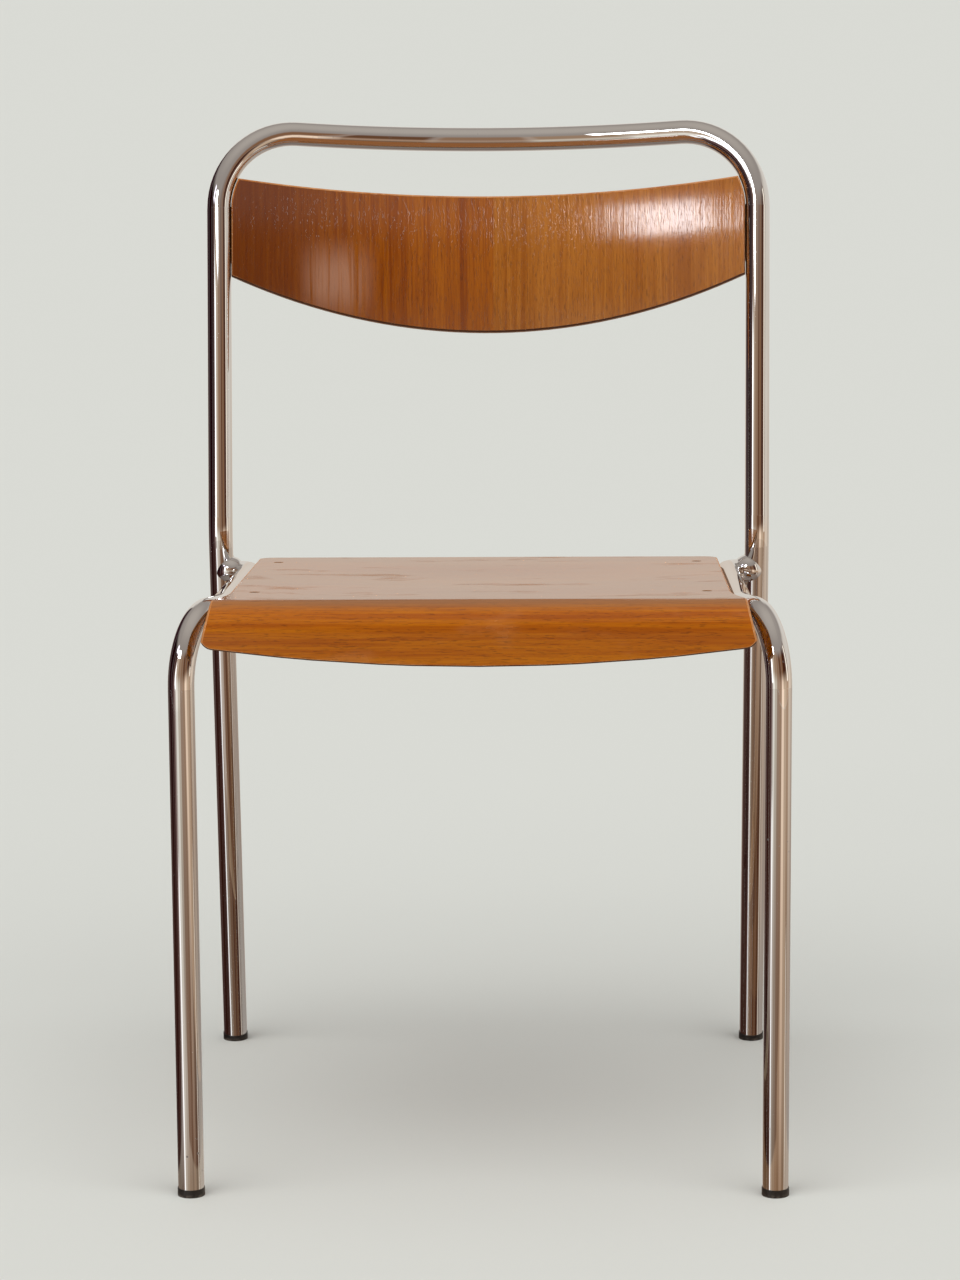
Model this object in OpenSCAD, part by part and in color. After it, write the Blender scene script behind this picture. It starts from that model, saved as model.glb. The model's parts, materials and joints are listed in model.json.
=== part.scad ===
// Stacking chair: two front leg tubes and one back frame tube, a moulded ply seat and a moulded ply backrest.
// +X is to the right of someone facing the chair's front, +Y runs to its back, +Z is up.
// Sizes are measured from the line through the front legs; the last step moves the origin to the middle of the outline.

/* [Tube] */
// Outside diameter of the frame tube
tube_d = 20; // [19:0.5:21]
// Wall thickness of the frame tube
tube_wall = 1.5; // [1:0.1:2]

/* [Back frame] */
// Distance between the centres of the left and right legs
leg_span = 448; // [440:1:460]
// Distance from the front legs to the back feet, on the floor
foot_depth = 429; // [415:1:440]
// How far the back legs lean, in degrees
leg_lean = 7.3; // [6.8:0.1:7.8]
// Height of the bend between back leg and upright
kink_z = 455; // [450:1:470]
// Bend radius between back leg and upright
kink_r = 60; // [40:5:80]
// How far the uprights lean back, in degrees
back_lean = 15; // [12:0.5:17]
// How far each upright leans outwards, in degrees
splay = 0.5; // [0:0.1:1]
// Length of an upright from its bend to the top rail
upright_len = 341; // [330:1:350]
// Bend radius at the top corners
corner_r = 67; // [60:1:72]
// How far the ends of the top rail aim behind the uprights at its middle
rail_aim = 72; // [50:1:80]
// Bend radius of the bowed top rail
bow_r = 486; // [440:2:500]

/* [Front legs] */
// Height where the line of the seat rail meets the line of the front leg
rail_front_z = 450.5; // [446:0.5:455]
// Slope of the seat and its rails, in degrees
seat_slope = 4.6; // [4:0.1:5.2]
// How far each seat rail sits inside its leg
rail_inset = 25; // [24:0.5:27]
// Where the seat rail becomes straight, behind the front leg
rail_turn_y = 76; // [74:1:90]
// Bend radius at the top of the front leg
knee_r = 50; // [44:1:60]
// Bend radius where the rail turns parallel to the seat
turn_r = 60; // [40:5:70]
// Bend radius where the rail turns out to the back frame
tail_r = 20; // [18:0.5:20]
// How far ahead of the back leg the rail turns out to it
tail_ahead = 2; // [1:0.5:4]
// Radius of the weld fillets above and below a rail's end
weld_r = 5; // [4:0.5:6]

/* [Seat] */
// Thickness of the moulded ply
ply = 8; // [7:0.5:9]
// How far the seat's sides reach over the inner edge of the rails
seat_over = 1.5; // [0:0.25:3]
// Gap between the seat and the rails under its edges
seat_gap = 0.25; // [0.2:0.05:0.5]
// Distance of the seat's back edge behind the front legs
seat_back_y = 364; // [350:1:366]
// Outside radius of the rolled front edge
roll_r = 24; // [20:1:28]
// How far the seat's front face stands ahead of the front legs
nose = 24; // [22:1:28]
// Height of the front face's lower edge, at its ends
lip_z = 431; // [428:1:436]
// How far the front face hangs lower in the middle
lip_belly = 14.5; // [6:0.5:18]
// Rounding of the front face's lower corners
lip_corner_r = 10; // [6:1:14]
// Rounding of the seat's back corners
seat_corner_r = 12; // [8:1:20]
// Radius of the flare at the seat's front sides
flare_r = 200; // [180:10:260]
// Where the flare starts, behind the front legs
flare_y = 60; // [54:1:64]
// How much wider than the seat the front face is at its top, on each side
lip_out_top = 9.5; // [6:0.5:12]
// How much wider than the seat the front face is at its lower edge, on each side
lip_out_low = 17.5; // [15:0.5:20]

/* [Backrest] */
// Radius of the backrest's hollow front face
back_r = 600; // [560:10:660]
// Gap between the backrest's ends and the uprights
back_gap = 0.4; // [0.3:0.1:2]
// Height of the lower corners over the frame's bend
back_low = 216.5; // [208:0.5:225]
// Height of the upper corners over the frame's bend
back_high = 300; // [290:0.5:304]
// How far the lower edge hangs in the middle
belly = 43; // [35:0.5:50]
// How far the upper edge dips in the middle
dip = 10; // [6:0.5:18]
// How far the front face stands ahead of the tube's middle, at its ends
back_ahead = 4; // [2:0.5:6]

/* [Fixings] */
// How far the seat's screws sit inside the middle of the rails
screw_inset = 27; // [22:0.5:40]
// Front screws, behind the front legs
screw_front_y = 57; // [50:1:70]
// Back screws, ahead of the seat's back edge
screw_back_in = 47; // [40:1:64]
// Thread diameter of the seat screws
screw_d = 4; // [3.5:0.5:5]
// Diameter of the seat screws' countersunk heads
head_d = 7.5; // [7:0.25:9]
// How deep the heads lie under the seat's top
head_sink = 0.4; // [0.2:0.1:0.8]
// Width of the slot across a screw's head
slot_w = 1.1; // [0.8:0.1:1.4]
// Depth of the slot
slot_t = 0.9; // [0.6:0.1:1.2]
// Width of the seat screws' nuts across their flats
nut_w = 7; // [6:0.5:8]
// Height of the nuts
nut_h = 3.2; // [2.4:0.2:4]
// How far a seat screw stands out of its nut
screw_tip = 1.5; // [0.5:0.5:3]
// Clearance round a screw in its hole
hole_gap = 0.25; // [0.2:0.05:0.5]
// Clearance between a round face and what is welded, screwed or pushed on to it
fit_gap = 0.15; // [0.1:0.05:0.2]
// Width of the flat bars under the seat
bar_w = 30; // [24:1:36]
// Thickness of the flat bars
bar_t = 4; // [3:0.5:5]
// Thickness of the tabs behind the backrest
tab_t = 3; // [2:0.5:4]
// Height of the tabs
tab_h = 48; // [40:1:56]
// How far the tabs' screws sit inside the backrest's ends
tab_inset = 19; // [16:0.5:30]
// How far a tab reaches inwards of its screws
tab_in = 13; // [8:0.5:16]
// How far the tabs' middle lies below the middle of the backrest's ends
tab_drop = 6; // [0:1:8]
// Diameter of the tabs' screws
tab_screw_d = 3.5; // [3:0.5:4]
// Diameter of the domed heads of the tabs' screws
tab_head_d = 8; // [6:0.5:9]
// Height of the domed heads
tab_head_h = 2; // [1.5:0.1:2.5]
// How deep the tabs' screws go into the backrest
tab_bite = 6.5; // [5:0.5:7]
// Distance between the two screws of a tab
tab_pitch = 28; // [22:1:32]

/* [Glides] */
// Diameter of a glide's foot
glide_d = 21; // [20.5:0.5:24]
// Height of the glide's foot under the tube
glide_h = 6; // [5:0.5:8]
// How far the glide's plug reaches into the tube
plug_h = 14; // [10:1:20]

/* [Hidden] */
$fn = 64;
lap = 0.6;
taper = 0.12;
step = 0.02;
bite = 0.1;
ro = tube_d / 2;
ri = ro - tube_wall;
leg_x = leg_span / 2;
rail_x = leg_x - rail_inset;
slope = tan(seat_slope);
// back frame corners
foot_pt = [leg_x, foot_depth, 0];
kink_y = foot_depth - kink_z * tan(leg_lean);
kink_pt = [leg_x, kink_y, kink_z];
top_v = upright_len;
top_pt = [leg_x + top_v * tan(splay), kink_y + top_v * sin(back_lean), kink_z + top_v * cos(back_lean)];
leg_run = norm(kink_pt - foot_pt) - arc_t(unit(kink_pt - foot_pt), unit(top_pt - kink_pt), kink_r);
apex_pt = [0, top_pt[1] + rail_aim * cos(back_lean), top_pt[2] - rail_aim * sin(back_lean)];
bow = rail_aim - bow_r * (1 / cos(atan(rail_aim / top_pt[0])) - 1);
// front leg corners; the rail meets the back frame on its axis
joint_y = joint_at(0) ;
joint_pt = [leg_x, joint_y, rail_z(joint_y)];
knee_pt = [leg_x, 0, rail_front_z];
turn_pt = [rail_x, rail_turn_y, rail_z(rail_turn_y)];
tail_pt = [rail_x, joint_y - tail_ahead, rail_z(joint_y - tail_ahead)];
// seat
seat_half = rail_x - ro + seat_over;
seat_rise = ply + sqrt(ro * ro - pow(ro - seat_over, 2)) + seat_gap;
seat_top0 = rail_front_z + seat_rise / cos(seat_slope);
roll_y = -nose + roll_r;
roll_l = (roll_y + roll_r * sin(seat_slope)) / cos(seat_slope);
roll_z = seat_top0 - roll_l * sin(seat_slope) - roll_r * cos(seat_slope);
bar_len = 2 * rail_x;
weld_w = 0.6 * ro;
head_h = (head_d - screw_d) / 2;
screw_x = rail_x - screw_inset;
screw_back_y = seat_back_y - screw_back_in;
screws = [for (y = [screw_front_y, screw_back_y], s = [-1, 1]) [s * screw_x, y]];
back_half = back_end(back_low);
tab_x = back_half - tab_inset;
// a length that reaches past whatever it cuts
far = leg_span;
// the whole chair's outline, for its origin
y_min = -nose;
y_max = top_pt[1] + bow * cos(back_lean) + ro;
y_mid = (y_min + y_max) / 2;
STEEL = [0.78, 0.79, 0.80];
PLY = [0.66, 0.40, 0.16];
BLACK = [0.09, 0.09, 0.10];

function unit(v) = v / norm(v);
function flip(p, s) = [s * p[0], p[1], p[2]];
function rail_z(y) = rail_front_z - y * slope;
// half width of the backrest at height v over the bend, along a straight upright
function back_end(v) = leg_x + v * tan(splay) - ro - back_gap;
// the back leg's y where it is as high as the rail
function joint_at(i) = (foot_depth - rail_front_z * tan(leg_lean)) / (1 - slope * tan(leg_lean));
function arc_t(a, b, r) = r * tan(acos(a * b) / 2);

// ---- helpers ----
module axes(p, x, y, z) {
  multmatrix([[x[0], y[0], z[0], p[0]], [x[1], y[1], z[1], p[1]], [x[2], y[2], z[2], p[2]], [0, 0, 0, 1]]) children();
}
// the children's +Z turned along direction d, at point p
module toward(p, d) {
  z = unit(d);
  x = unit(cross(abs(z[0]) < 0.9 ? [1, 0, 0] : [0, 1, 0], z));
  axes(p, x, cross(z, x), z) children();
}
module ring(a, b) {
  difference() {
    circle(r = a);
    if (b > 0) circle(r = b);
  }
}
// a straight length of tube, its walls thinned at an end that runs into a bend
module straight(l, a, b, t0, t1) {
  i = b > 0 ? b + taper : 0;
  rotate_extrude() polygon(concat(
    t0 ? [[i, 0], [a - taper, 0], [a, lap]] : [[b, 0], [a, 0]],
    t1 ? [[a, l - lap], [a - taper, l], [i, l]] : [[a, l], [b, l]],
    b > 0 && t1 ? [[b, l - lap]] : [],
    b > 0 && t0 ? [[b, lap]] : []));
}
// a tube through the points, bent at each inner point to its radius; the straights run into the bends, whose walls are a hair thinner
module bent_tube(pts, rads, a, b) {
  n = len(pts);
  dirs = [for (i = [0 : n - 2]) unit(pts[i + 1] - pts[i])];
  t = [for (i = [0 : n - 1]) i == 0 || i == n - 1 ? 0 : arc_t(dirs[i - 1], dirs[i], rads[i - 1])];
  for (i = [0 : n - 2]) {
    if (i > 0) {
      p = dirs[i - 1];
      q = dirs[i];
      nrm = unit(q - p * (p * q));
      axes(pts[i] - p * t[i] + nrm * rads[i - 1], -nrm, p, cross(-nrm, p))
        rotate_extrude(angle = acos(p * q)) translate([rads[i - 1], 0]) ring(a - step, b > 0 ? b + step : 0);
    }
    g0 = t[i] - (i > 0 ? lap : 0);
    g1 = t[i + 1] - (i < n - 2 ? lap : 0);
    toward(pts[i] + dirs[i] * g0, dirs[i]) straight(norm(pts[i + 1] - pts[i]) - g0 - g1, a, b, i > 0, i < n - 2);
  }
}
module seat_place() translate([0, 0, seat_top0]) rotate([-seat_slope, 0, 0]) children();
module back_place() translate([0, kink_y, kink_z]) rotate([-back_lean, 0, 0]) children();
module home() translate([0, -y_mid, 0]) children();
function leg_dir(back) = back ? unit(kink_pt - foot_pt) : [0, 0, 1];
function leg_foot(back) = back ? foot_pt : [leg_x, 0, 0];

// ---- frame ----
module frame_tube(b) {
  up = glide_h * leg_dir(true);
  bent_tube([flip(foot_pt + up, -1), flip(kink_pt, -1), flip(top_pt, -1), apex_pt, top_pt, kink_pt, foot_pt + up],
    [kink_r, corner_r, bow_r, corner_r, kink_r], ro, b);
}
module back_frame() color(STEEL) home() frame_tube(ri);

// the straight back leg as a solid bar up to its bend, to shape what is welded to it
module back_leg_bar(s) toward(flip(foot_pt, s), flip(kink_pt - foot_pt, s)) cylinder(h = leg_run, r = ro + fit_gap);

module front_leg(s) color(STEEL) home() difference() {
  union() {
    bent_tube([flip([leg_x, 0, glide_h], s), flip(knee_pt, s), flip(turn_pt, s), flip(tail_pt, s), flip(joint_pt, s)],
      [knee_r, turn_r, tail_r], ro, ri);
    difference() {
      for (a = [45, 135]) weld(s, a);
      bent_tube([flip(turn_pt, s), flip(tail_pt, s), flip(joint_pt, s)], [tail_r], ro - tube_wall / 2, 0);
    }
  }
  back_leg_bar(s);
}
// fillet in the corner between rail and back leg, hollow along the corner's diagonal and round across it
module weld(s, a) {
  z = unit(flip(kink_pt - foot_pt, s));
  d = flip(tail_pt - joint_pt, s);
  x = unit(d - z * (d * z));
  axes(flip(joint_pt, s), x, cross(z, x), z) rotate([0, a, 0]) difference() {
    translate([-weld_r, 0, (tube_d + weld_r) / sqrt(2) - weld_w]) rotate([0, 90, 0]) cylinder(h = 2 * weld_r, r = weld_w);
    translate([0, -ro, (ro + weld_r) * sqrt(2)]) rotate([-90, 0, 0]) cylinder(h = tube_d, r = weld_r + bite);
  }
}
module front_leg_left() front_leg(-1);
module front_leg_right() front_leg(1);

// flat bar under the seat, its ends shaped to the rails
module crossbar(y) color(STEEL) home() difference() {
  seat_place() translate([-bar_len / 2, y / cos(seat_slope) - bar_w / 2, -ply - bar_t]) difference() {
    cube([bar_len, bar_w, bar_t]);
    for (s = [-1, 1]) translate([bar_len / 2 + s * screw_x, bar_w / 2, -1]) cylinder(h = bar_t + 2, d = screw_d + 2 * hole_gap);
  }
  for (s = [-1, 1]) rail_bar(s);
}
// the straight rail as a solid bar
module rail_bar(s) toward(flip([rail_x, 0, rail_front_z], s), [0, 1, -slope]) cylinder(h = joint_y + 40, r = ro + fit_gap);
module crossbar_front() crossbar(screw_front_y);
module crossbar_back() crossbar(screw_back_y);

// ---- seat ----
// outline seen from the front: sloping sides, a lower edge that hangs in the middle, rounded lower corners
module seat_front() {
  w0 = seat_half + lip_out_top;
  w1 = seat_half + lip_out_low;
  r = lip_corner_r;
  sag_r = (w1 * w1 + lip_belly * lip_belly) / (2 * lip_belly);
  difference() {
    intersection() {
      polygon([[-w0, 2 * far], [w0, 2 * far], [w0, seat_top0], [w1, lip_z], [w1, 0], [-w1, 0], [-w1, lip_z], [-w0, seat_top0]]);
      translate([0, lip_z - lip_belly + sag_r]) circle(r = sag_r, $fn = 720);
    }
    for (s = [-1, 1]) translate([s * (w1 - r - 0.6), lip_z + r - 1.2]) difference() {
      translate([s > 0 ? 0 : -20 - r, -20 - r]) square(20 + r);
      circle(r = r + 0.1);
    }
  }
}
module seat_sheet() {
  w = 2 * far;
  seat_place() translate([-w / 2, roll_l - lap, -ply]) cube([w, seat_back_y / cos(seat_slope) - roll_l + lap, ply]);
  // the rolled edge is a hair thicker than the flat parts that end inside it
  axes([0, roll_y, roll_z], [0, sin(seat_slope), cos(seat_slope)], [0, -cos(seat_slope), sin(seat_slope)], [1, 0, 0])
    rotate_extrude(angle = 90 + seat_slope) translate([roll_r - ply - step, -w / 2 - 1]) square([ply + 2 * step, w + 2]);
  translate([-w / 2, -nose, lip_z - lip_belly - 5]) cube([w, ply, roll_z - lip_z + lip_belly + 5 + lap]);
}
module seat_side(s) {
  r = seat_corner_r;
  y1 = seat_back_y;
  // the flare bites a hair deeper than the straight side, so that the two meet at an angle
  translate([s * (seat_half + flare_r - bite), flare_y, 0]) cylinder(h = 2 * far, r = flare_r, $fn = 180);
  translate([s > 0 ? seat_half : -seat_half - flare_r, flare_y - 2, 0]) cube([flare_r, y1, 2 * far]);
  translate([s * (seat_half - r), y1 - r, 0]) difference() {
    translate([s > 0 ? 0 : -r - 10, 0, 0]) cube([r + 10, r + 20, 2 * far]);
    translate([0, 0, -1]) cylinder(h = 2 * far + 2, r = r + 0.05);
  }
}
module seat_panel() color(PLY) home() difference() {
  intersection() {
    seat_sheet();
    translate([0, seat_back_y + far, 0]) rotate([90, 0, 0]) linear_extrude(seat_back_y + nose + 2 * far) seat_front();
  }
  for (s = [-1, 1]) seat_side(s);
  for (p = screws) seat_place() translate([p[0], p[1] / cos(seat_slope), 0]) {
    translate([0, 0, -ply - 1]) cylinder(h = ply + 2, d = screw_d + 2 * hole_gap);
    translate([0, 0, -head_sink - head_h]) cylinder(h = head_h, d1 = screw_d + 2 * hole_gap, d2 = head_d + 2 * hole_gap);
    translate([0, 0, -head_sink]) cylinder(h = head_sink + 1, d = head_d + 2 * hole_gap);
  }
}

// ---- backrest ----
// w is measured behind the uprights' plane: the middle of the hollow front face
back_mid = back_r - sqrt(back_r * back_r - back_half * back_half) - back_ahead;
module back_outline() {
  cv = back_half + 1;
  r_low = (cv * cv + belly * belly) / (2 * belly);
  a = back_low - 50;
  b = back_high + 1;
  difference() {
    intersection() {
      polygon([[-back_end(a), a], [back_end(a), a], [back_end(b), b], [-back_end(b), b]]);
      translate([0, back_low - belly + r_low]) circle(r = r_low, $fn = 360);
    }
    for (s = [-1, 1]) back_corner(s);
  }
}
// what the top corner of the frame takes off the outline: the outside of its inner curve, seen from the front
module back_corner(s) {
  r = (corner_r - ro) / cos(atan(rail_aim / top_pt[0]));
  v = upright_len - arc_t(unit(top_pt - kink_pt), unit(apex_pt - top_pt), corner_r);
  translate([s * (back_end(v) - r - bite), v]) difference() {
    translate([s > 0 ? 0 : -2 * r, 0]) square(2 * r);
    circle(r = r, $fn = 180);
  }
}
module backrest_panel() color(PLY) home() back_place() difference() {
  intersection() {
    translate([0, back_mid - back_r, 0]) linear_extrude(back_high + far) ring(back_r + ply, back_r, $fn = 360);
    translate([0, far, 0]) rotate([90, 0, 0]) linear_extrude(2 * far) back_outline();
  }
  translate([0, far, back_high - dip + dip_r]) rotate([90, 0, 0]) cylinder(h = 2 * far, r = dip_r, $fn = 360);
  for (s = [-1, 1], i = [-1, 1]) tab_place(s) translate([0, i * tab_pitch / 2, -tab_bite - fit_gap]) cylinder(h = tab_bite + tab_t, d = tab_screw_d + 2 * fit_gap);
}
dip_r = (back_half * back_half + dip * dip) / (2 * dip);
// tab frame: x outwards, y up the backrest, z backwards out of the panel's back face
tab_v = (back_low + back_high) / 2 - tab_drop;
tab_a = asin(tab_x / (back_r + ply));
module tab_place(s) translate([0, back_mid - back_r, tab_v]) rotate([0, 0, -s * tab_a]) translate([0, back_r + ply + fit_gap, 0])
  axes([0, 0, 0], [s, 0, 0], [0, 0, 1], [0, 1, 0]) children();
module tab(s) color(STEEL) home() back_place() difference() {
  intersection() {
    tab_place(s) difference() {
      translate([-tab_in, -tab_h / 2, 0]) cube([tab_in + leg_x - tab_x + tube_d, tab_h, tab_t]);
      for (i = [-1, 1]) translate([0, i * tab_pitch / 2, -1]) cylinder(h = tab_t + 3, d = tab_screw_d + 2 * hole_gap);
    }
    translate([s > 0 ? tab_x - 2 * tab_in : -leg_x - ro / 5, -far, 0]) cube([leg_x + ro / 5 - tab_x + 2 * tab_in, 2 * far, 2 * far]);
  }
  upright_bar(s);
}
module upright_bar(s) toward([s * leg_x, 0, 0], [s * tan(splay), 0, 1]) cylinder(h = upright_len, r = ro + fit_gap, $fn = 180);
module tab_left() tab(-1);
module tab_right() tab(1);

// ---- fixings ----
module seat_screw(i) color(STEEL) home() seat_place() translate([screws[i][0], screws[i][1] / cos(seat_slope), -head_sink]) difference() {
  union() {
    translate([0, 0, -head_h]) cylinder(h = head_h, d1 = screw_d, d2 = head_d);
    translate([0, 0, head_sink - ply - bar_t - nut_h - screw_tip]) cylinder(h = ply + bar_t + nut_h + screw_tip - head_sink - head_h, d = screw_d);
  }
  translate([-head_d, -slot_w / 2, -slot_t]) cube([2 * head_d, slot_w, slot_t + 1]);
}
module seat_nut(i) color(STEEL) home() seat_place() translate([screws[i][0], screws[i][1] / cos(seat_slope), -ply - bar_t - nut_h]) difference() {
  cylinder(h = nut_h, d = nut_w / cos(30), $fn = 6);
  translate([0, 0, -1]) cylinder(h = nut_h + 2, d = screw_d + 2 * fit_gap);
}
module seat_screw_front_left() seat_screw(0);
module seat_screw_front_right() seat_screw(1);
module seat_screw_back_left() seat_screw(2);
module seat_screw_back_right() seat_screw(3);
module seat_nut_front_left() seat_nut(0);
module seat_nut_front_right() seat_nut(1);
module seat_nut_back_left() seat_nut(2);
module seat_nut_back_right() seat_nut(3);

module back_screw(s, i) color(STEEL) home() back_place() tab_place(s) translate([0, i * tab_pitch / 2, 0]) {
  translate([0, 0, tab_t]) intersection() {
    cylinder(h = tab_head_h, d = tab_head_d);
    translate([0, 0, tab_head_h - 0.65 * tab_head_d]) sphere(r = 0.65 * tab_head_d);
  }
  translate([0, 0, -tab_bite]) cylinder(h = tab_t + tab_bite, d = tab_screw_d);
}
module back_screw_left_low() back_screw(-1, -1);
module back_screw_left_high() back_screw(-1, 1);
module back_screw_right_low() back_screw(1, -1);
module back_screw_right_high() back_screw(1, 1);

// ---- glides ----
module glide(s, back) color(BLACK) home() intersection() {
  toward(flip(leg_foot(back), s), flip(leg_dir(back), s)) {
    translate([0, 0, -ro / 2]) cylinder(h = glide_h + ro / 2, d = glide_d);
    cylinder(h = glide_h + plug_h, r = ri - fit_gap);
  }
  translate([-far, -far, 0]) cube([2 * far, foot_depth + 2 * far, far]);
}
module glide_front_left() glide(-1, false);
module glide_front_right() glide(1, false);
module glide_back_left() glide(-1, true);
module glide_back_right() glide(1, true);

back_frame();
front_leg_left();
front_leg_right();
crossbar_front();
crossbar_back();
seat_panel();
backrest_panel();
tab_left();
tab_right();
seat_screw_front_left();
seat_screw_front_right();
seat_screw_back_left();
seat_screw_back_right();
seat_nut_front_left();
seat_nut_front_right();
seat_nut_back_left();
seat_nut_back_right();
back_screw_left_low();
back_screw_left_high();
back_screw_right_low();
back_screw_right_high();
glide_front_left();
glide_front_right();
glide_back_left();
glide_back_right();
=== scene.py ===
# %% [markdown]
# # A stacking chair of bent tube and moulded ply
# The chair has two front leg tubes, one long back frame tube, a seat and a backrest of moulded plywood, and the
# screws, bars and glides that hold it together. The shapes come from the imported model, and this script gives each
# piece its finish, its rounded edges, a studio and a camera.

# %% Load the imported model and keep its record
import json
import math

import bmesh
import bpy
from mathutils import Matrix, Vector
from mathutils.bvhtree import BVHTree


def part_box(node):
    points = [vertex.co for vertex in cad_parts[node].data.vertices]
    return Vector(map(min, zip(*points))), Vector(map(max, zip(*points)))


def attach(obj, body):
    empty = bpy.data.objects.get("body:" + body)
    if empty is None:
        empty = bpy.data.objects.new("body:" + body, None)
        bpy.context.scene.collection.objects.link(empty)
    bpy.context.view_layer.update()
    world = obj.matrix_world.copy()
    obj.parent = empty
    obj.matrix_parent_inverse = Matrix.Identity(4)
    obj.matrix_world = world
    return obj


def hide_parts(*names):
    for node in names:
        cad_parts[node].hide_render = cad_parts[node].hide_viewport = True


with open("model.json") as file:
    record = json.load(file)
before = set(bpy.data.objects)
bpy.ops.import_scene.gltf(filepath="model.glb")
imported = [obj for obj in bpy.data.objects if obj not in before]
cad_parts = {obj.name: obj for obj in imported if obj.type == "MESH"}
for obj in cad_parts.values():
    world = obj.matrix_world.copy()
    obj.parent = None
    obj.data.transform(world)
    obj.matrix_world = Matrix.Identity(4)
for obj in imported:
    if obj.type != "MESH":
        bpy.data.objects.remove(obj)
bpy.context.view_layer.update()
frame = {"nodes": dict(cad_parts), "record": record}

# %% [markdown]
# ## Camera
# The chair is seen from the front with a long lens, from a little to the right of its middle and about a metre up.
# A long lens keeps the uprights almost parallel. The pan, tilt and roll are written as turns about three axes, so
# that each can be read on its own.

# %% Camera
MM = 0.001
SENSOR = 36.0
LENS = 115.790625
EYE = (0.0678, -3.2702, 1.0021)
PAN, TILT, ROLL = (math.radians(a) for a in (1.272, 10.66, -0.396))

cam_data = bpy.data.cameras.new("camera")
cam_data.sensor_width = SENSOR
cam_data.lens = LENS
camera = bpy.data.objects.new("camera", cam_data)
bpy.context.scene.collection.objects.link(camera)
camera.matrix_world = (Matrix.Translation(EYE)
                       @ Matrix.Rotation(PAN, 4, "Z")
                       @ Matrix.Rotation(math.pi / 2 - TILT, 4, "X")
                       @ Matrix.Rotation(ROLL, 4, "Z"))
bpy.context.scene.camera = camera
bpy.context.scene.view_settings.view_transform = "Standard"
print(f"lens {LENS:.1f} mm, eye {EYE}")

# %% [markdown]
# ## Shader arithmetic
# A finish is mostly arithmetic on patterns. Written as plain expressions it stays readable, so one small class
# wraps a socket: plus, minus and times on it add Math nodes, and its node method adds any other node.

# %% Sockets as values
class Val:
    """One socket of a shader tree."""

    def __init__(self, tree, sock=None):
        self.tree, self.sock = tree, sock

    def node(self, kind, settings=None, sockets=None, out=0):
        """A new node: its settings are set first, then its sockets get values or links. Returns the socket out."""
        n = self.tree.nodes.new("ShaderNode" + kind)
        for key, value in (settings or {}).items():
            setattr(n, key, value)
        for key, value in (sockets or {}).items():
            if isinstance(value, Val):
                self.tree.links.new(value.sock, n.inputs[key])
            else:
                n.inputs[key].default_value = value
        return Val(self.tree, n.outputs[out] if len(n.outputs) else None)

    def math(self, op, a, b=0.0):
        return self.node("Math", {"operation": op}, {0: a, 1: b})

    def __add__(self, o): return self.math("ADD", self, o)
    def __radd__(self, o): return self.math("ADD", o, self)
    def __sub__(self, o): return self.math("SUBTRACT", self, o)
    def __rsub__(self, o): return self.math("SUBTRACT", o, self)
    def __mul__(self, o): return self.math("MULTIPLY", self, o)
    def __rmul__(self, o): return self.math("MULTIPLY", o, self)


# %% [markdown]
# Every finish is built from the same few parts: coordinates in metres that stay with the piece, noise that can be
# stretched, soft steps that turn it into masks, mixes of colours, and a bump whose height is in real metres.

# %% Patterns that every finish uses
def start(name):
    """A new material with an empty tree, as a Val to build from."""
    mat = bpy.data.materials.new(name)
    mat.use_nodes = True
    mat.node_tree.nodes.clear()
    return mat, Val(mat.node_tree)


def colour(r, g, b):
    """A colour given in the usual 0 to 255 numbers, as the linear values that a socket wants."""
    shares = [c / 255 for c in (r, g, b)]
    return tuple(c / 12.92 if c <= 0.04045 else ((c + 0.055) / 1.055) ** 2.4 for c in shares) + (1.0,)


def object_coords(v, scale=(1, 1, 1), turn=(0, 0, 0)):
    """Object coordinates in metres, turned and stretched."""
    return v.node("Mapping", {"vector_type": "POINT"},
                  {"Vector": v.node("TexCoord", out="Object"), "Rotation": turn, "Scale": scale})


def part_of(v, vector, axis):
    """One component of a vector, by its letter."""
    return v.node("SeparateXYZ", None, {0: vector}, out=axis)


def facing(v, axis):
    """How far the surface faces along an axis, from -1 to 1."""
    return part_of(v, v.node("TexCoord", out="Normal"), axis)


def noise(v, coords, scale, detail=3.0, rough=0.55):
    return v.node("TexNoise", {"noise_dimensions": "3D"},
                  {"Vector": coords, "Scale": scale, "Detail": detail, "Roughness": rough})


def ramp_up(v, value, low, high, to_low=0.0, to_high=1.0):
    """Maps low..high smoothly to to_low..to_high, and holds outside."""
    return v.node("MapRange", {"interpolation_type": "SMOOTHSTEP", "clamp": True},
                  {"Value": value, "From Min": low, "From Max": high, "To Min": to_low, "To Max": to_high})


def between(v, value, low, high, soft):
    """1 between low and high, fading over soft to each side of both ends."""
    return ramp_up(v, value, low - soft, low + soft) * ramp_up(v, value, high - soft, high + soft, 1.0, 0.0)


def mix(v, factor, a, b, blend="MIX"):
    """Colour a where the factor is 0 and colour b where it is 1."""
    return v.node("Mix", {"data_type": "RGBA", "blend_type": blend, "clamp_factor": True},
                  {0: factor, 6: a, 7: b}, out=2)


def bump(v, height, distance, strength=1.0):
    return v.node("Bump", None, {"Height": height, "Distance": distance, "Strength": strength})


def finish_with(mat, v, **sockets):
    """Ends the material in one Principled shader with these sockets."""
    names = {k.replace("_", " "): value for k, value in sockets.items()}
    shader = v.node("BsdfPrincipled", None, names)
    v.node("OutputMaterial", None, {"Surface": shader})
    print("finish:", mat.name)
    return mat


# %% [markdown]
# ## Chrome
# Bright chrome plate is a mirror: what it shows is the room. Up close it is not perfect. It carries a haze of fine
# scratches, wiped smears that make it slightly duller in patches, and a few pits low on the legs where it meets
# mops and shoes. All of these are small changes of roughness and height, so the metal stays clean and bright.

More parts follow.
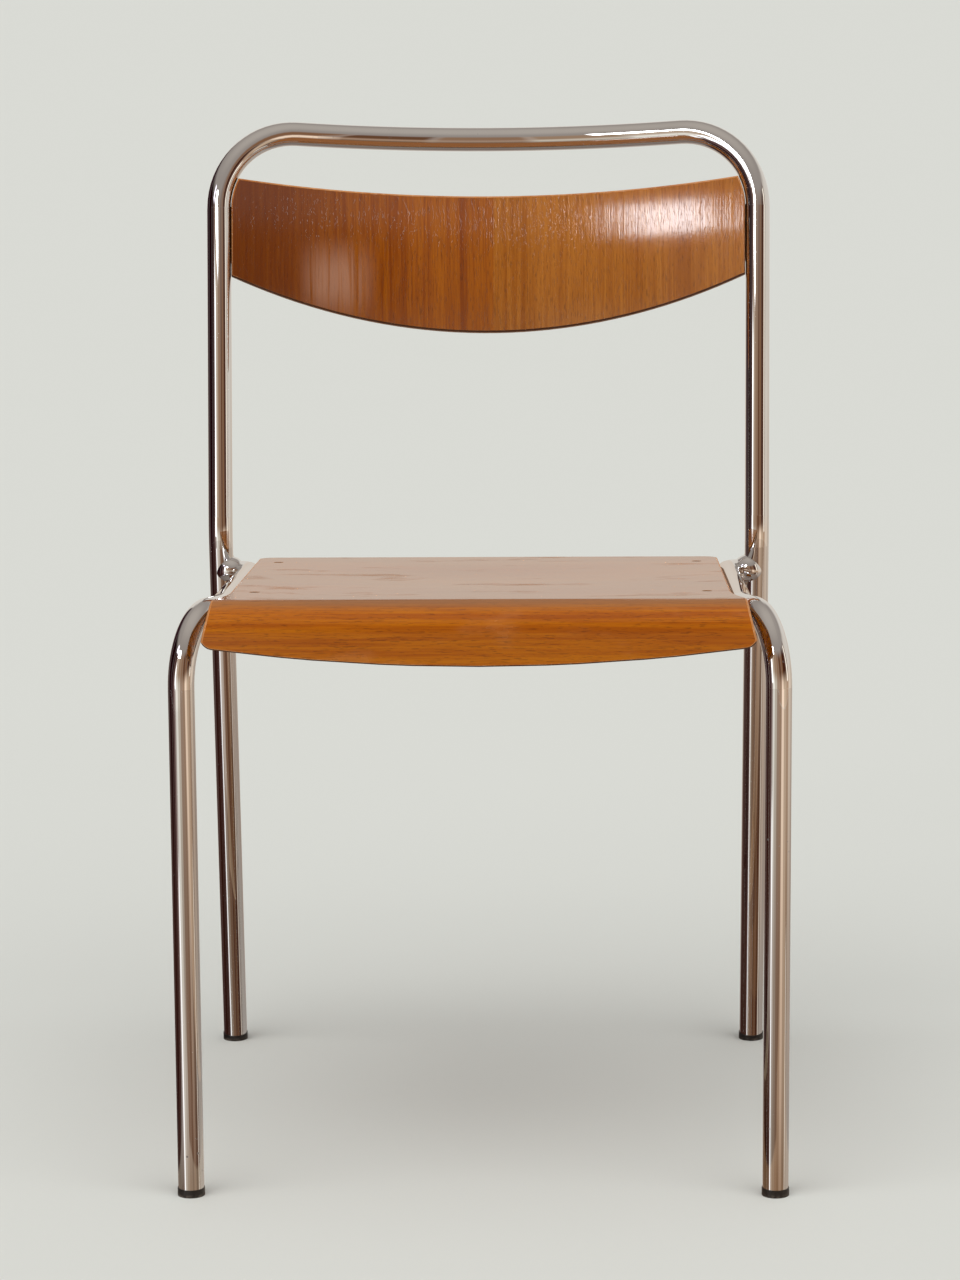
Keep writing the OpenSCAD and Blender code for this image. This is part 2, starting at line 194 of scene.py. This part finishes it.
# %% Chrome
def chrome(name):
    mat, v = start(name)
    p = object_coords(v)
    smear = ramp_up(v, noise(v, object_coords(v, (14, 14, 5)), 1.0, 4.0), 0.42, 0.72)
    hair = noise(v, object_coords(v, (900, 900, 60)), 1.0, 2.0)
    low = ramp_up(v, part_of(v, p, "Z"), 0.02, 0.42, 1.0, 0.12)
    cell = v.node("TexVoronoi", {"feature": "F1"}, {"Vector": p, "Scale": 150.0, "Randomness": 1.0})
    keep = noise(v, object_coords(v, (33, 33, 21)), 1.0, 2.0)
    pit = ramp_up(v, cell, 0.10, 0.17, 1.0, 0.0) * ramp_up(v, keep, 0.60, 0.66) * low
    base = mix(v, smear * 0.35, colour(228, 228, 228), colour(214, 211, 207))
    base = mix(v, pit * 0.75, base, colour(96, 72, 56))
    return finish_with(
        mat, v, Base_Color=base, Metallic=1.0 - pit * 0.5,
        Roughness=0.012 + smear * 0.03 + hair * 0.012 + pit * 0.4,
        Normal=bump(v, hair * 0.04 - pit, 0.06 * MM, 0.35))


tube_chrome = chrome("chrome_plate")

# %% [markdown]
# ## Steel, screws and plastic
# The bars and tabs are zinc plated strip, which is grey and satin with a fine grain from rolling. The screws are
# dull nickel. The glides are moulded black plastic, scuffed grey round the edge that slides on the floor.

# %% Zinc plated strip, nickel and plastic
def satin_metal(name, tone, stretch, roughness):
    mat, v = start(name)
    patch = noise(v, object_coords(v), 60.0, 4.0)
    rolled = noise(v, object_coords(v, stretch), 1.0, 3.0)
    dark = tuple(c * 0.62 for c in tone[:3]) + (1.0,)
    base = mix(v, ramp_up(v, patch, 0.35, 0.75) * 0.5 + rolled * 0.25, tone, dark)
    return finish_with(mat, v, Base_Color=base, Metallic=1.0, Roughness=roughness + patch * 0.12 + rolled * 0.08,
                       Normal=bump(v, rolled, 0.05 * MM, 0.4))


def plastic(name):
    mat, v = start(name)
    p = object_coords(v)
    leather = noise(v, p, 1400.0, 2.0)
    dust = ramp_up(v, noise(v, p, 240.0, 4.0), 0.46, 0.70)
    at_the_floor = ramp_up(v, part_of(v, p, "Z"), 0.5 * MM, 3.5 * MM, 1.0, 0.0)
    scuff = at_the_floor * ramp_up(v, noise(v, p, 420.0, 3.0), 0.38, 0.62)
    base = mix(v, dust * 0.35, colour(30, 27, 25), colour(62, 54, 47))
    base = mix(v, scuff * 0.6, base, colour(104, 94, 84))
    return finish_with(mat, v, Base_Color=base, Roughness=0.42 + dust * 0.2 + scuff * 0.25,
                       Normal=bump(v, leather, 0.08 * MM, 0.3))


zinc = satin_metal("zinc_plate", colour(172, 174, 176), (40, 1800, 1800), 0.30)
nickel = satin_metal("dull_nickel", colour(118, 106, 94), (700, 700, 700), 0.38)
black_plastic = plastic("black_plastic")

# %% [markdown]
# ## Veneer
# The outer ply is a straight grained veneer under a glossy orange-brown varnish. Its look has four scales: broad
# soft stripes some centimetres wide, streaks of a few millimetres, short dark pores, and a glossy surface with a
# slight ripple, because the varnish follows the wood. Stretching the coordinates along the grain makes all of them
# from noise. On the backrest two leaves of veneer meet near the middle: the left one is redder and grows darker to
# its end. The seat's faces that look up are painted darker and greyer than its front lip, as painted shade and sheen.

# %% Grain
def grain(v, along, turn=(0, 0, 0), wander=0.005):
    """A function that makes stretched noise along one axis of the turned coordinates, with lines that wander."""
    lengthwise = "XYZ".index(along)
    flow = object_coords(v, (1, 1, 1), turn)
    slow = [11.0] * 3
    slow[lengthwise] = 7.0
    sway = v.node("TexNoise", None,
                  {"Vector": object_coords(v, tuple(slow), turn), "Scale": 1.0, "Detail": 2.0}, out="Color")
    centred = v.node("VectorMath", {"operation": "SUBTRACT"}, {0: sway, 1: (0.5, 0.5, 0.5)})
    shift = v.node("VectorMath", {"operation": "SCALE"}, {0: centred, "Scale": wander})
    bent = v.node("VectorMath", {"operation": "ADD"}, {0: flow, 1: shift})

    def pattern(across, along_it, detail=2.0, rough=0.5):
        stretch = [across] * 3
        stretch[lengthwise] = along_it
        return noise(v, v.node("Mapping", None, {"Vector": bent, "Scale": tuple(stretch)}), 1.0, detail, rough)

    return pattern


def veneer(v, pattern, light, mid, dark, pore_colour=(66, 26, 4)):
    """The colour of one leaf of veneer, and the patterns that its varnish follows."""
    broad = pattern(30.0, 2.4, 2.0)
    streak = pattern(300.0, 5.0, 3.0, 0.6)
    fine = pattern(900.0, 30.0, 2.0)
    pore = ramp_up(v, pattern(1500.0, 130.0, 1.0), 0.58, 0.68)
    tone = broad * 0.35 + streak * 0.65
    base = mix(v, ramp_up(v, tone, 0.38, 0.62), colour(*light), colour(*mid))
    base = mix(v, ramp_up(v, tone, 0.52, 0.68) * 0.7, base, colour(*dark))
    base = mix(v, ramp_up(v, fine, 0.42, 0.68) * 0.45, base, colour(*dark))
    return mix(v, pore * 0.4, base, colour(*pore_colour)), streak, fine, pore


def varnished(mat, v, base, height, dull, polish=0.5):
    """Glossy varnish that follows the wood under it. The height is in metres, and dull raises the roughness."""
    return finish_with(mat, v, Base_Color=base, Roughness=0.13 + dull, Specular_IOR_Level=polish,
                       Normal=bump(v, height, 1.0))


# %% Veneer of the seat
mat, v = start("seat_veneer")
base, streak = veneer(v, grain(v, "X", wander=0.0025), light=(182, 102, 0), mid=(166, 84, 0), dark=(148, 70, 0))[:2]
rub = ramp_up(v, noise(v, object_coords(v, (16, 30, 30)), 1.0, 4.0), 0.55, 0.75)
base = mix(v, rub * 0.16, base, colour(206, 136, 70))
patches = ramp_up(v, noise(v, object_coords(v, (5, 9, 9)), 1.0, 3.0), 0.35, 0.65)
# painted shade and sheen: the faces that look up are mixed toward a duller grey-brown
painted_top_shade = ramp_up(v, facing(v, "Z"), 0.7, 0.97) * (0.4 + patches * 0.25)
base = mix(v, painted_top_shade, base, colour(136, 100, 68))
ripple = noise(v, object_coords(v), 22.0, 2.0)
seat_veneer = varnished(mat, v, base, streak * (0.01 * MM) + ripple * (0.16 * MM), rub * 0.22)

# %% [markdown]
# The backrest's panel leans back, so its grain and its height are measured along the lean. The panel is flat from top
# to bottom, and a crown in the bump alone bends its reflections, so that a bright window glances off as a band. The
# pale patch low on the left leaf is a painted reflection of a window's glare, painted by its place on the panel. No
# lamp or window makes it, so it stays where it is from every side and in any other light.

# %% Veneer of the backrest
LEAN = math.radians(15)
JOINT_X = 4 * MM
JOINT_SOFT = 0.6 * MM
CROWN_R = 0.30
CROWN_ABOVE_MIDDLE = 20 * MM
PATCH_X = (-152 * MM, -104 * MM)
PATCH_UP = (-64 * MM, -18 * MM)
back_low, back_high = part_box("backrest_panel")
back_middle = (back_low + back_high) / 2
mat, v = start("back_veneer")
pattern = grain(v, "Z", turn=(LEAN, 0, 0))
left_leaf, streak, fine, pore = veneer(v, pattern, light=(164, 88, 0), mid=(142, 68, 0), dark=(118, 50, 0))
right_leaf = veneer(v, grain(v, "Z", turn=(LEAN, 0, 0), wander=0.002), light=(176, 106, 26), mid=(158, 88, 10),
                    dark=(142, 74, 0))[0]
xyz = object_coords(v)
x, y, z = (part_of(v, xyz, axis) for axis in "XYZ")
darker = ramp_up(v, x, -0.21, -0.05, 1.0, 0.0)
left_leaf = mix(v, darker * 0.75, left_leaf, colour(92, 36, 0))
edge_of_leaf = x + (streak - 0.5) * (2 * JOINT_SOFT)
base = mix(v, ramp_up(v, edge_of_leaf, JOINT_X - JOINT_SOFT, JOINT_X + JOINT_SOFT), left_leaf, right_leaf)
up = y * math.sin(LEAN) + z * math.cos(LEAN)
middle_height = back_middle.y * math.sin(LEAN) + back_middle.z * math.cos(LEAN)
from_crown = up - (middle_height + CROWN_ABOVE_MIDDLE)
crown = from_crown * from_crown * (-0.5 / CROWN_R)
ripple = noise(v, object_coords(v, (40, 40, 14)), 1.0, 2.0)
# painted reflection: a pale glare patch low on the left leaf, placed by its position on the panel
in_patch = between(v, x, *PATCH_X, 14 * MM) * between(v, from_crown, *PATCH_UP, 20 * MM)
on_front = ramp_up(v, facing(v, "Y"), -0.3, 0.0, 1.0, 0.0)
painted_glare = in_patch * ramp_up(v, streak, 0.25, 0.58) * on_front
base = mix(v, painted_glare * 0.5, base, colour(200, 152, 124))
height = crown + fine * (0.04 * MM) - pore * (0.04 * MM) + streak * (0.1 * MM) + ripple * (0.06 * MM)
back_veneer = varnished(mat, v, base, height, painted_glare * 0.1, polish=0.9)

# %% [markdown]
# ## Cut edges of the ply
# A moulded sheet is a stack of thin plies glued crosswise. On its cut edge they show as bands, pale where the grain
# runs along the edge and darker where the saw cut across it. The rim between face and edge is rounded by sanding,
# and that is where varnish wears first: it goes pale on top. Where the rim turns downward it is darkened with painted
# shade.

# %% Edge and rim finishes
PLY = 8 * MM
PLIES = 7
mat, v = start("ply_edge")
depth = v.node("Attribute", {"attribute_name": "depth"}, out="Fac")
wavy = depth + (noise(v, object_coords(v), 55.0, 2.0) - 0.5) * (0.5 * MM)
place = v.math("FRACT", wavy * (PLIES / 2 / PLY))
crosswise = ramp_up(v, place, 0.44, 0.52) * ramp_up(v, place, 0.94, 1.0, 1.0, 0.0)
ends = noise(v, object_coords(v), 1500.0, 2.0)
long_streak = noise(v, object_coords(v, (60, 60, 900)), 1.0, 3.0)
pale = mix(v, long_streak, colour(196, 134, 66), colour(166, 102, 40))
deep = mix(v, ramp_up(v, ends, 0.4, 0.65), colour(120, 66, 22), colour(84, 42, 14))
ply_edge = finish_with(mat, v, Base_Color=mix(v, crosswise, pale, deep), Roughness=0.42 + ends * 0.2,
                       Normal=bump(v, ends * (0.03 * MM) + crosswise * (0.06 * MM), 1.0))


def rim_finish(name, unshaded_from):
    """Worn pale where its surface faces further up than the threshold given, and darkened with painted shade below it.
    """
    mat, v = start(name)
    chip = ramp_up(v, noise(v, object_coords(v), 260.0, 4.0, 0.7), 0.5, 0.62)
    long_wear = ramp_up(v, noise(v, object_coords(v), 24.0, 3.0), 0.3, 0.55)
    # painted shade: the rim is mixed toward near black where it faces downward
    painted_shade_below = ramp_up(v, facing(v, "Z"), unshaded_from - 0.25, unshaded_from, 1.0, 0.0)
    base = mix(v, long_wear * 0.6, colour(166, 92, 24), colour(206, 142, 84))
    base = mix(v, chip * 0.4, base, colour(222, 170, 120))
    base = mix(v, painted_shade_below * 0.92, base, colour(52, 18, 2))
    return finish_with(mat, v, Base_Color=base, Roughness=0.32 + chip * 0.25,
                       Normal=bump(v, chip * (-0.08 * MM), 1.0))


seat_rim = rim_finish("seat_rim", -0.12)
back_rim = rim_finish("back_rim", 0.35)

# %% [markdown]
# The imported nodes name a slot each, such as tube or screws, and every slot has one finish. The backrest is the one
# exception, because its veneer differs from the seat's.

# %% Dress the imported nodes
FINISH_OF_SLOT = {"tube": tube_chrome, "bars": zinc, "plywood": seat_veneer, "screws": nickel, "glides": black_plastic}
slot_of_node = {s["node"]: s["material_slot"] for s in frame["record"]["subparts"]}
for name, piece in frame["nodes"].items():
    finish = back_veneer if name == "backrest_panel" else FINISH_OF_SLOT[slot_of_node[name]]
    if not piece.material_slots:
        piece.data.materials.append(finish)
    for material_slot in piece.material_slots:
        material_slot.material = finish
print(len(frame["nodes"]), "nodes dressed")

# %% [markdown]
# ## Seat and backrest
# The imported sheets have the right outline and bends, but their corners are as sharp as a drawing's. A copy of each
# is merged into clean faces, and the rims between its two broad faces and its cut edge are bevelled. The broad faces,
# the cut edge and the rim each get their own finish. Every point also notes how deep in the sheet it lies, so that
# the bands of ply follow the sheet round its bends.

# %% Ply sheets with rounded rims
RIM = 1.5 * MM
SAME_POINT = 0.12 * MM
SHARP = math.radians(40)
SCREW_CLEAR = 3 * MM
FACE, EDGE, WORN = 0, 1, 2
screw_boxes = [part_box(name) for name in frame["nodes"] if "screw" in name]


def at_a_screw(point):
    """Whether a point lies in or close to a screw, where a rim is left sharp for the head to sit in."""
    return any(all(low[i] - SCREW_CLEAR < point[i] < high[i] + SCREW_CLEAR for i in range(3))
               for low, high in screw_boxes)


def rounded_sheet(node, broad):
    """A merged copy of a packed sheet with bevelled rims, and a tree of its front faces to measure depth from."""
    bm = bmesh.new()
    bm.from_mesh(frame["nodes"][node].data)
    bmesh.ops.remove_doubles(bm, verts=bm.verts, dist=SAME_POINT)
    bmesh.ops.dissolve_limit(bm, angle_limit=math.radians(1), verts=bm.verts, edges=bm.edges, delimit=set())
    for face in bm.faces:
        face.material_index = FACE if broad(face.normal, face.calc_center_median()) else EDGE
    bm.verts.ensure_lookup_table()
    fronts = [[vert.index for vert in face.verts] for face in bm.faces
              if face.material_index == FACE and face.normal.z - face.normal.y > 0]
    front_tree = BVHTree.FromPolygons([vert.co.copy() for vert in bm.verts], fronts)
    rims = [edge for edge in bm.edges if {face.material_index for face in edge.link_faces} == {FACE, EDGE}
            and not at_a_screw((edge.verts[0].co + edge.verts[1].co) / 2)]
    made = bmesh.ops.bevel(bm, geom=rims, affect="EDGES", offset=RIM, offset_type="OFFSET", segments=4, profile=0.5,
                           clamp_overlap=False, material=-1)
    for face in made["faces"]:
        face.material_index = WORN
    print(node, "rims:", len(rims), "rim faces:", len(made["faces"]))
    return bm, front_tree


def note_depth(bm, front_tree):
    """Writes on every point its distance from the front faces, for the bands of ply."""
    depths = bm.verts.layers.float.new("depth")
    for vert in bm.verts:
        vert[depths] = front_tree.find_nearest(vert.co)[3]


def finish_sheet(name, bm, node, face_finish, rim):
    """Turns the mesh into the piece that stands in for a packed sheet."""
    for face in bm.faces:
        face.smooth = True
    for edge in bm.edges:
        edge.smooth = len(edge.link_faces) == 2 and edge.calc_face_angle() < SHARP
    mesh = bpy.data.meshes.new(name)
    bm.to_mesh(mesh)
    bm.free()
    for finish in (face_finish, ply_edge, rim):
        mesh.materials.append(finish)
    piece = bpy.data.objects.new(name, mesh)
    bpy.context.scene.collection.objects.link(piece)
    even = piece.modifiers.new("even_normals", "WEIGHTED_NORMAL")
    even.keep_sharp = True
    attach(piece, "root")
    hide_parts(node)
    print(name, len(mesh.polygons), "faces")


# %% [markdown]
# The seat is also dished a little where one sits. The sheet is cut into a grid so that it has points to move, and
# both of its faces sink together, most in the middle and not at all near the crossbars.

# %% Seat
seat_low, seat_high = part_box("seat_panel")
DISH_DEPTH = 2.5 * MM
DISH_X, DISH_Y = 0.165, 0.112
DISH_MIDDLE_Y = (seat_low.y + seat_high.y) / 2 + 17 * MM
GRID_STEP = 12 * MM
BACK_BAND = 12 * MM


def seat_is_broad(normal, centre):
    """Whether a face belongs to the two broad faces, and not to the cut edge all round."""
    back_edge = normal.y > 0.5 and centre.y > seat_high.y - BACK_BAND
    lower_edge = normal.z < -0.5 and centre.y < seat_low.y + PLY + MM
    return abs(normal.x) < 0.02 and not back_edge and not lower_edge


def dish(point):
    """How far a point of the seat sinks: fully in the middle, and fading to nothing at the dish's sides."""
    tx = min(1.0, abs(point.x) / DISH_X)
    ty = min(1.0, abs(point.y - DISH_MIDDLE_Y) / DISH_Y)
    return DISH_DEPTH * (1 - tx * tx) ** 2 * (1 - ty * ty) ** 2


bm, seat_tree = rounded_sheet("seat_panel", seat_is_broad)
for axis, middle, reach in ((Vector((1, 0, 0)), 0.0, DISH_X), (Vector((0, 1, 0)), DISH_MIDDLE_Y, DISH_Y)):
    for i in range(round(2 * reach / GRID_STEP) + 1):
        bmesh.ops.bisect_plane(bm, geom=bm.verts[:] + bm.edges[:] + bm.faces[:], dist=1e-6,
                               plane_co=axis * (middle - reach + i * GRID_STEP), plane_no=axis)
note_depth(bm, seat_tree)
for vert in bm.verts:
    vert.co.z -= dish(vert.co)
finish_sheet("seat", bm, "seat_panel", seat_veneer, seat_rim)

# %% [markdown]
# The backrest needs no grid, since none of its points move: its crown is only in the bump. Its broad faces run along
# the lean, so the top and bottom edges are told from them by the direction up the panel.

# %% Backrest
UP = Vector((0, math.sin(LEAN), math.cos(LEAN)))


def back_is_broad(normal, centre):
    return abs(normal.dot(UP)) < 0.05 and abs(normal.x) < 0.6


bm, back_tree = rounded_sheet("backrest_panel", back_is_broad)
note_depth(bm, back_tree)
finish_sheet("backrest", bm, "backrest_panel", back_veneer, back_rim)

# %% [markdown]
# ## Welds
# Each seat rail turns out to its back leg and is welded there. The welder rounded the joint with filler, and the
# polisher smoothed it before plating, so it reads as a soft ball where three tubes seem to meet. A sphere squashed
# a little and swollen unevenly gives that shape, and it is chromed like the tubes that it lies partly inside.

# %% Weld balls
JOINT = Vector((0.2175, 0.1265, 0.4235))
BALL = Vector((12.5, 11.8, 11.0)) * MM
BALL_TURN = math.radians(20)


def swelling(unit):
    """How much further out than a sphere the filler lies, in a direction."""
    return 0.035 * math.sin(3.1 * unit.x + 1.7 * unit.z + 0.6) + 0.02 * math.sin(5.3 * unit.z - 2.2 * unit.y)


def weld_ball(name, side):
    bm = bmesh.new()
    bmesh.ops.create_icosphere(bm, subdivisions=5, radius=1.0)
    for vert in bm.verts:
        vert.co *= 1.0 + swelling(vert.co)
    bmesh.ops.scale(bm, verts=bm.verts, vec=BALL)
    bmesh.ops.rotate(bm, verts=bm.verts, matrix=Matrix.Rotation(side * BALL_TURN, 3, "Y"))
    bmesh.ops.translate(bm, verts=bm.verts, vec=(side * JOINT.x, JOINT.y, JOINT.z))
    for face in bm.faces:
        face.smooth = True
    mesh = bpy.data.meshes.new(name)
    bm.to_mesh(mesh)
    bm.free()
    mesh.materials.append(tube_chrome)
    piece = bpy.data.objects.new(name, mesh)
    bpy.context.scene.collection.objects.link(piece)
    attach(piece, "root")
    print(name, len(mesh.polygons), "faces")


weld_ball("weld_left", -1)
weld_ball("weld_right", 1)

# %% [markdown]
# ## Studio
# A plain pale floor runs far out on all sides, so it is also the background. To the camera and in reflections the
# world has the same pale colour, and everywhere else it gives a dimmer, even light. Three broad, soft lamps stand in
# front at the left, in front at the right and overhead. With that even light they give a level surface as much light
# as makes its colour render about as it is written.

# %% Floor, lights and surroundings
FLOOR_REACH = 60.0
FILL = 0.42
LAMP_SPREAD = math.radians(50)


def stage_mesh(name, bm, material):
    """A part of the studio that is not the chair."""
    mesh = bpy.data.meshes.new(name)
    bm.to_mesh(mesh)
    bm.free()
    mesh.materials.append(material)
    obj = bpy.data.objects.new(name, mesh)
    bpy.context.scene.collection.objects.link(obj)
    return obj


PALE = colour(217, 218, 212)
mat, v = start("pale_floor")
speck = noise(v, object_coords(v), 3.0, 4.0)
floor_tone = mix(v, speck * 0.06, PALE, colour(206, 207, 201))
diffuse = v.node("BsdfDiffuse", None, {"Color": floor_tone})
v.node("OutputMaterial", None, {"Surface": diffuse})
bm = bmesh.new()
bmesh.ops.create_grid(bm, x_segments=2, y_segments=2, size=FLOOR_REACH)
floor = stage_mesh("floor", bm, mat)
floor.visible_glossy = False

world = bpy.data.worlds.new("world")
bpy.context.scene.world = world
world.use_nodes = True
world.node_tree.nodes.clear()
w = Val(world.node_tree)
seen = (w.node("LightPath", out="Is Camera Ray") + w.node("LightPath", out="Is Glossy Ray")
        + w.node("LightPath", out="Is Transmission Ray"))
air = w.node("Background", None, {"Color": PALE, "Strength": 1.0})
fill = w.node("Background", None, {"Color": (1, 1, 1, 1), "Strength": FILL})
w.node("OutputWorld", None, {"Surface": w.node("MixShader", None, {0: seen, 1: fill, 2: air})})

# name, azimuth and height in degrees, strength
SUNS = [("sun_left", -40, 50, 1.1), ("sun_right", 42, 45, 0.8), ("sun_top", 10, 80, 0.45)]
for name, azimuth, height, strength in SUNS:
    data = bpy.data.lights.new(name, "SUN")
    data.energy = strength
    data.angle = LAMP_SPREAD
    light = bpy.data.objects.new(name, data)
    a, e = math.radians(azimuth), math.radians(height)
    towards = Vector((math.sin(a) * math.cos(e), -math.cos(a) * math.cos(e), math.sin(e)))
    light.rotation_euler = towards.to_track_quat("Z", "Y").to_euler()
    light.visible_glossy = False
    bpy.context.scene.collection.objects.link(light)
print("floor, world and", len(SUNS), "lamps")

# %% [markdown]
# ## What the chrome sees
# A mirror has no look of its own. In a bare white studio bright tube goes flat and grey, so dark and light boards
# are stood round it. Here a drum of such boards surrounds the chair: pale behind it, dark at the left, mixed in
# front, with two bright strips and two high windows, a plain ceiling, and polished warm boards underfoot. Only
# reflections see it: it lights nothing and hides nothing from the camera.

# %% Boards that only reflections see
ROOM_R = 2.2
ROOM_TOP = 2.5
PLATE = 0.75


def seen_in_chrome(r, g, b):
    """What a board has to be for the chrome, which keeps three quarters of the light, to show this colour."""
    return tuple(c / PLATE for c in colour(r, g, b)[:3]) + (1.0,)


# azimuth from and to in degrees (0 is the front, 90 the right), then the colours near the feet, on the far floor and
# on the wall, as the chrome shows them
BOARDS = [
    (-150, -112, (72, 42, 32), (82, 68, 66), (46, 27, 32)),
    (-112, -80, (60, 30, 18), (36, 14, 17), (26, 5, 8)),
    (-80, -66, (54, 22, 14), (42, 16, 20), (38, 12, 16)),
    (-66, -54, (84, 58, 50), (92, 68, 66), (66, 42, 40)),
    (-54, -44, (206, 196, 190), (156, 142, 136), (128, 102, 90)),
    (-44, -27, (196, 184, 174), (228, 224, 214), (178, 160, 142)),
    (-27, -9, (116, 86, 70), (190, 180, 165), (146, 120, 98)),
    (-9, 9, (92, 56, 34), (154, 130, 112), (134, 104, 82)),
    (9, 27, (80, 46, 24), (156, 128, 106), (96, 64, 44)),
    (27, 45, (190, 158, 130), (240, 214, 190), (120, 86, 62)),
    (45, 63, (170, 142, 116), (190, 166, 142), (64, 32, 18)),
    (63, 84, (86, 54, 32), (172, 144, 120), (96, 68, 54)),
    (84, 112, (124, 90, 64), (208, 190, 172), (200, 192, 182)),
]
BEHIND = [(86, 50, 26), (184, 170, 156), (200, 194, 186)]
# bright strips and windows: azimuth from and to, height from and to, light
WINDOWS = [
    (-52, -42, 0.20, 1.50, (2.3, 2.3, 2.3, 1.0)),
    (70, 78, 0.30, 1.90, (1.4, 1.28, 1.1, 1.0)),
    (-66, -54, 1.72, 2.28, (2.0, 1.9, 2.2, 1.0)),
    (-38, -23, 1.68, 2.26, (12.0, 12.2, 12.6, 1.0)),
]
SOFT = 2.0


def azimuth_and_radius(v):
    """Where a point of the drum lies: degrees round from the front, and metres from the middle."""
    xyz = object_coords(v)
    x, y = (part_of(v, xyz, axis) for axis in "XY")
    return v.math("ARCTAN2", x, 0.0 - y) * math.degrees(1), v.math("SQRT", x * x + y * y)


def boards(v, azimuth, level):
    """The boards' light, by azimuth. Level 0 is near the feet, 1 the far floor and 2 the wall."""
    low = v.math("MINIMUM", level, 1.0)
    high = v.math("MAXIMUM", level - 1.0, 0.0)

    def three(near, far, wall):
        return mix(v, high, mix(v, low, seen_in_chrome(*near), seen_in_chrome(*far)), seen_in_chrome(*wall))

    light = three(*BEHIND)
    for start_at, end_at, *colours in BOARDS:
        light = mix(v, between(v, azimuth, start_at, end_at, SOFT), light, three(*colours))
    return light


def only_reflections(obj):
    """Hides an object from everything but reflections."""
    for kind in ("camera", "diffuse", "shadow", "transmission", "volume_scatter"):
        setattr(obj, "visible_" + kind, False)


def glowing(mat, v, light, polish=0.0):
    """Ends the material in a glow of this colour, of which polish gives way to a mirror."""
    shine = v.node("BsdfAnisotropic", None, {"Roughness": 0.08})
    glow = v.node("Emission", None, {"Color": light})
    v.node("OutputMaterial", None, {"Surface": v.node("MixShader", None, {0: polish, 1: glow, 2: shine})})
    mat.cycles.emission_sampling = "NONE"


# %% [markdown]
# The wall of the drum has the windows in it, and fades to the ceiling's colour at the top.

# %% Boards all round
CEILING_EDGE, CEILING_MIDDLE = seen_in_chrome(142, 134, 128), seen_in_chrome(164, 156, 148)
mat, v = start("boards_round")
azimuth = azimuth_and_radius(v)[0]
z = part_of(v, object_coords(v), "Z")
light = boards(v, azimuth, ramp_up(v, z, 0.15, 0.85, 1.0, 2.0))
light = mix(v, ramp_up(v, z, 1.5, 2.3), light, CEILING_EDGE)
for left, right, bottom, top, glow in WINDOWS:
    in_window = between(v, azimuth, left, right, 0.8) * between(v, z, bottom, top, 0.03)
    light = mix(v, in_window, light, glow)
glowing(mat, v, light)
bm = bmesh.new()
bmesh.ops.create_cone(bm, cap_ends=False, segments=96, radius1=ROOM_R, radius2=ROOM_R, depth=ROOM_TOP,
                      matrix=Matrix.Translation((0, 0, ROOM_TOP / 2)))
only_reflections(stage_mesh("boards_round", bm, mat))
print(len(BOARDS), "boards and", len(WINDOWS), "windows")

# %% [markdown]
# The boards underfoot are polished: they show their own colour and mirror the wall, which is what draws long bright
# lines down the legs. They are darker under the chair. The ceiling is plain, and a little paler over the middle.

# %% Boards underfoot and overhead
mat, v = start("boards_underfoot")
azimuth, radius = azimuth_and_radius(v)
plank = noise(v, object_coords(v, (3, 14, 1)), 1.0, 3.0)
light = boards(v, azimuth, ramp_up(v, radius, 0.7, 2.1))
light = mix(v, plank * 0.2, light, seen_in_chrome(86, 50, 30))
shade = ramp_up(v, radius, 0.25, 0.62, 1.0, 0.0)
glowing(mat, v, mix(v, shade, light, (0.56, 0.46, 0.32, 1.0), "MULTIPLY"), 0.6)
bm = bmesh.new()
bmesh.ops.create_circle(bm, cap_ends=True, segments=96, radius=ROOM_R)
bmesh.ops.translate(bm, verts=bm.verts, vec=(0, 0, -0.5 * MM))
only_reflections(stage_mesh("boards_underfoot", bm, mat))

mat, v = start("boards_overhead")
radius = azimuth_and_radius(v)[1]
glowing(mat, v, mix(v, ramp_up(v, radius, 0.2, ROOM_R), CEILING_MIDDLE, CEILING_EDGE))
bm = bmesh.new()
bmesh.ops.create_circle(bm, cap_ends=True, segments=96, radius=ROOM_R)
bmesh.ops.translate(bm, verts=bm.verts, vec=(0, 0, ROOM_TOP))
only_reflections(stage_mesh("boards_overhead", bm, mat))
print("floor and ceiling of the drum, radius", ROOM_R)

# %% [markdown]
# ## Update

# %% Update the view layer
bpy.context.view_layer.update()
